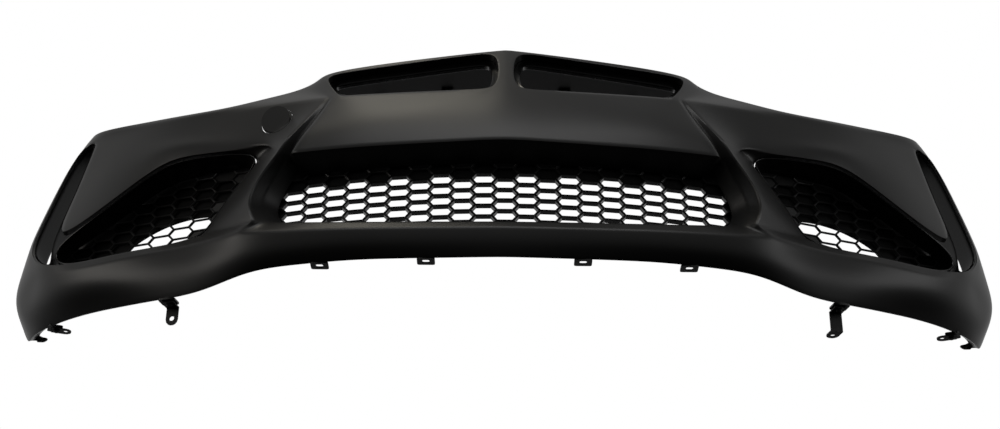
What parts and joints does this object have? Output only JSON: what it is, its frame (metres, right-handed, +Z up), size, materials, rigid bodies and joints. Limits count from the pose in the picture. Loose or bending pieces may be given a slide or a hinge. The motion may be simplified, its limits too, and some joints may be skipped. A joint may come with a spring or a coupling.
{
  "type": "front bumper cover",
  "caption": "Moulded front bumper cover of a compact coupe with twin upper openings, a wide honeycomb centre intake, side intakes and air-curtain slots.",
  "frame": {"origin": "centre of the top face of the centre mounting pad, on the centre plane at the rear of the top shelf", "axes": "+X to the car's left side, which is the right as seen from in front of it, +Y rearward along the car, +Z up"},
  "size_m": [1.823, 0.5668, 0.5249],
  "materials": {
    "skin": "satin black unpainted plastic, smooth, with soft highlights",
    "grille": "semi-gloss black plastic",
    "duct": "matte black plastic with a fine grain",
    "steel": "thin black powder coat over steel, slightly rough",
    "pad": "matte black rubber"
  },
  "bodies": {
    "cover": {"bumper_skin": "skin", "centre_grille": "grille", "centre_mounting_pad": "pad", "left_air_curtain_duct": "duct", "left_arch_bracket": "steel", "left_arch_bracket_screw": "steel", "left_arch_clip_1": "steel", "left_arch_clip_2": "steel", "left_grille_clip_1": "steel", "left_grille_clip_2": "steel", "left_intake_blanking_panel": "grille", "left_intake_grille": "grille", "left_intake_trim": "grille", "left_lower_bracket": "steel", "left_lower_bracket_screw": "steel", "left_shelf_clip_1": "steel", "left_shelf_clip_2": "steel", "left_upper_seat": "duct", "right_air_curtain_duct": "duct", "right_arch_bracket": "steel", "right_arch_bracket_screw": "steel", "right_arch_clip_1": "steel", "right_arch_clip_2": "steel", "right_grille_clip_1": "steel", "right_grille_clip_2": "steel", "right_intake_blanking_panel": "grille", "right_intake_grille": "grille", "right_intake_trim": "grille", "right_lower_bracket": "steel", "right_lower_bracket_screw": "steel", "right_shelf_clip_1": "steel", "right_shelf_clip_2": "steel", "right_upper_seat": "duct"},
    "cap": {"tow_eye_cap": "skin"}
  },
  "joints": [
    {"name": "tow_eye_cap_pull", "type": "slide", "parent": "cover", "child": "cap", "axis": [-0.2419, -0.9703, 0], "range_m": [0, 0.035]}
  ]
}
